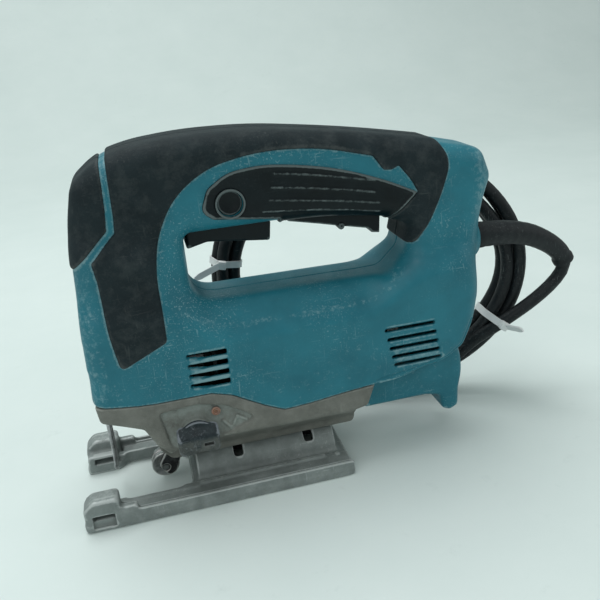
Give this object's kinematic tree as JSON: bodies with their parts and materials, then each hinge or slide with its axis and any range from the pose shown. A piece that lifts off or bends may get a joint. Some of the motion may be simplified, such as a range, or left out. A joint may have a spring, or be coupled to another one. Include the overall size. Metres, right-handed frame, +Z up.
{
  "type": "jigsaw power tool",
  "caption": "Corded top-handle jigsaw with a tilting base, orbital selector knob, paddle trigger and a tied coil of cord standing behind it.",
  "frame": {"origin": "on the flat sole of the base, on the tool's mid-plane, halfway along the tool without its cord", "axes": "+X from the blade end to the cord end along the base, +Y to the right-hand side, +Z up"},
  "size_m": [0.3222, 0.1431, 0.2072],
  "materials": {
    "teal_plastic": "moulded, satin, scuffed",
    "black_rubber": "soft grip, matt, dusty",
    "black_plastic": "moulded, matt",
    "grey_casting": "die-cast, dull, dusty",
    "base_aluminium": "worn, edges bright",
    "steel": "ground",
    "dark_steel": "blackened",
    "laminations": "stacked laminations",
    "copper": "copper segments",
    "brass": "turned",
    "carbon": "carbon",
    "white_nylon": "smooth",
    "cable_rubber": "sheath, matt",
    "knob_plastic": "moulded, worn"
  },
  "bodies": {
    "body": {"left_housing": "teal_plastic", "right_housing": "teal_plastic", "rubber_cover_left": "black_rubber", "rubber_cover_right": "black_rubber", "nose_pad_left": "black_rubber", "nose_pad_right": "black_rubber", "grip_inlay_left": "black_plastic", "grip_inlay_right": "black_plastic", "gear_housing": "grey_casting", "base_bolt_front": "dark_steel", "base_bolt_rear": "dark_steel", "gear_axle": "steel", "bearing_bridge": "grey_casting", "motor_stator": "laminations", "front_bearing": "steel", "rear_bearing": "steel", "brush_left": "carbon", "brush_right": "carbon", "brush_holder_left": "brass", "brush_holder_right": "brass", "plunger_guide_upper": "brass", "plunger_guide_lower": "brass", "holder_pivot_pin": "steel", "switch_body": "black_plastic", "lock_bezel": "knob_plastic", "grip_underside_trim": "black_plastic", "blade_guard_wire": "steel", "side_screw": "brass", "cord_guard": "cable_rubber", "cord_lead": "cable_rubber", "cord_coil": "cable_rubber", "cord_tail": "cable_rubber", "cable_tie_front": "white_nylon", "cable_tie_rear": "white_nylon", "plug_body": "cable_rubber", "plug_pin_a": "brass", "plug_pin_b": "brass", "housing_screw_1": "dark_steel", "housing_screw_2": "dark_steel", "housing_screw_3": "dark_steel", "housing_screw_4": "dark_steel", "housing_screw_5": "dark_steel"},
    "base": {"base_plate": "base_aluminium"},
    "trigger": {"trigger": "black_plastic"},
    "lock_button": {"lock_button": "black_plastic"},
    "armature": {"armature_shaft": "steel", "armature_core": "laminations", "commutator": "copper", "cooling_fan": "black_plastic"},
    "drive_gear": {"drive_gear": "dark_steel"},
    "plunger": {"plunger_rod": "steel", "plunger_yoke": "steel", "blade_holder": "dark_steel"},
    "clamp_sleeve": {"clamp_sleeve": "dark_steel"},
    "roller_holder": {"roller_holder": "dark_steel", "roller_pin": "steel"},
    "blade_roller": {"blade_roller": "steel"},
    "orbital_knob": {"orbital_knob": "knob_plastic", "orbital_shaft": "steel"}
  },
  "joints": [
    {"name": "base_tilt", "type": "hinge", "parent": "body", "child": "base", "pos_m": [-0.047, 0, 0.004], "axis": [1, 0, 0], "range_deg": [-45, 45]},
    {"name": "trigger_pull", "type": "hinge", "parent": "body", "child": "trigger", "pos_m": [-0.044, 0, 0.157], "axis": [0, -1, 0], "range_deg": [0, 8.5], "stiffness_Nm_per_rad": 0.4, "springref_deg": -17.19},
    {"name": "lock_press", "type": "slide", "parent": "body", "child": "lock_button", "axis": [0, 1, 0], "range_m": [0, 0.004], "stiffness_N_per_m": 250, "springref_m": -0.002},
    {"name": "armature_spin", "type": "hinge", "parent": "body", "child": "armature", "pos_m": [0.008, 0, 0.078], "axis": [1, 0, 0], "continuous": true},
    {"name": "drive_gear_spin", "type": "hinge", "parent": "body", "child": "drive_gear", "pos_m": [-0.072, 0, 0.104], "axis": [1, 0, 0], "continuous": true},
    {"name": "plunger_stroke", "type": "slide", "parent": "body", "child": "plunger", "axis": [0, 0, -1], "range_m": [0, 0.023]},
    {"name": "clamp_release", "type": "hinge", "parent": "plunger", "child": "clamp_sleeve", "pos_m": [-0.094, 0, 0.056], "axis": [0, 0, 1], "range_deg": [0, 60], "stiffness_Nm_per_rad": 0.02, "springref_deg": -11.46},
    {"name": "pendulum_swing", "type": "hinge", "parent": "body", "child": "roller_holder", "pos_m": [-0.064, 0, 0.045], "axis": [0, 1, 0], "range_deg": [-3, 3]},
    {"name": "blade_roller_spin", "type": "hinge", "parent": "roller_holder", "child": "blade_roller", "pos_m": [-0.078, 0, 0.012], "axis": [0, 1, 0], "continuous": true},
    {"name": "orbital_select", "type": "hinge", "parent": "body", "child": "orbital_knob", "pos_m": [-0.057, -0.036, 0.046], "axis": [0, 1, 0], "range_deg": [0, 90]}
  ],
  "couplings": [
    {"joint": "drive_gear_spin", "follows": "armature_spin", "ratio": -0.2}
  ]
}
